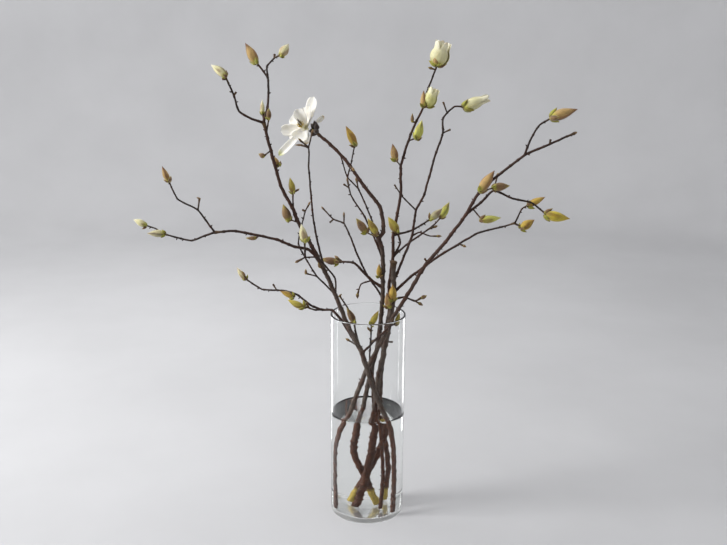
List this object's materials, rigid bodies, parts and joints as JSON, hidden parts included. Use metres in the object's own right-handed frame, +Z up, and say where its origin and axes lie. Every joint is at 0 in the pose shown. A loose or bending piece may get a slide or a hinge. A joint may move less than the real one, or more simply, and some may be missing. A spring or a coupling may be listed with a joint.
{
  "type": "glass cylinder vase",
  "caption": "Tall clear glass cylinder vase, half full of water, holding cut magnolia branches that each lift straight out of it.",
  "frame": {"origin": "centre of the vase's flat foot, on the surface that it stands on", "axes": "+Z up along the cylinder's axis, +X to the right and +Y away from the viewer"},
  "size_m": [0.57, 0.1759, 0.6715],
  "materials": {
    "vase_glass": "clear, polished, fire-polished rim",
    "water": "clear still water",
    "bark": "dark grey-brown bark with lenticels and ring scars",
    "flower_bud": "olive to tan, silky hairs",
    "leaf_bud": "small brown scales",
    "tepal": "waxy white petal",
    "bud_scale": "dark hairy bud scales",
    "flower_heart": "green carpels on a yellow foot"
  },
  "bodies": {
    "vase": {"vase": "vase_glass", "water": "water"},
    "tall_left_branch": {"tall_left_wood": "bark", "tall_left_buds": "flower_bud", "tall_left_leaf_buds": "leaf_bud"},
    "low_left_branch": {"low_left_wood": "bark", "low_left_buds": "flower_bud", "low_left_leaf_buds": "leaf_bud"},
    "blossom_branch": {"blossom_wood": "bark", "blossom_buds": "flower_bud", "blossom_leaf_buds": "leaf_bud", "blossom_tepals": "tepal", "blossom_scales": "bud_scale", "blossom_heart": "flower_heart"},
    "arching_branch": {"arching_wood": "bark", "arching_buds": "flower_bud", "arching_leaf_buds": "leaf_bud"},
    "cut_top_branch": {"cut_top_wood": "bark", "cut_top_buds": "flower_bud", "cut_top_leaf_buds": "leaf_bud", "cut_top_tepals": "tepal"},
    "tall_right_branch": {"tall_right_wood": "bark", "tall_right_buds": "flower_bud", "tall_right_leaf_buds": "leaf_bud", "tall_right_tepals": "tepal"},
    "far_right_branch": {"far_right_wood": "bark", "far_right_buds": "flower_bud", "far_right_leaf_buds": "leaf_bud"}
  },
  "joints": [
    {"name": "lift_tall_left", "type": "slide", "parent": "vase", "child": "tall_left_branch", "axis": [0, 0, 1], "range_m": [0, 0.3], "deforming": ["water"]},
    {"name": "lift_low_left", "type": "slide", "parent": "vase", "child": "low_left_branch", "axis": [0, 0, 1], "range_m": [0, 0.3]},
    {"name": "lift_blossom", "type": "slide", "parent": "vase", "child": "blossom_branch", "axis": [0, 0, 1], "range_m": [0, 0.3]},
    {"name": "lift_arching", "type": "slide", "parent": "vase", "child": "arching_branch", "axis": [0, 0, 1], "range_m": [0, 0.3]},
    {"name": "lift_cut_top", "type": "slide", "parent": "vase", "child": "cut_top_branch", "axis": [0, 0, 1], "range_m": [0, 0.3]},
    {"name": "lift_tall_right", "type": "slide", "parent": "vase", "child": "tall_right_branch", "axis": [0, 0, 1], "range_m": [0, 0.3]},
    {"name": "lift_far_right", "type": "slide", "parent": "vase", "child": "far_right_branch", "axis": [0, 0, 1], "range_m": [0, 0.3]}
  ]
}
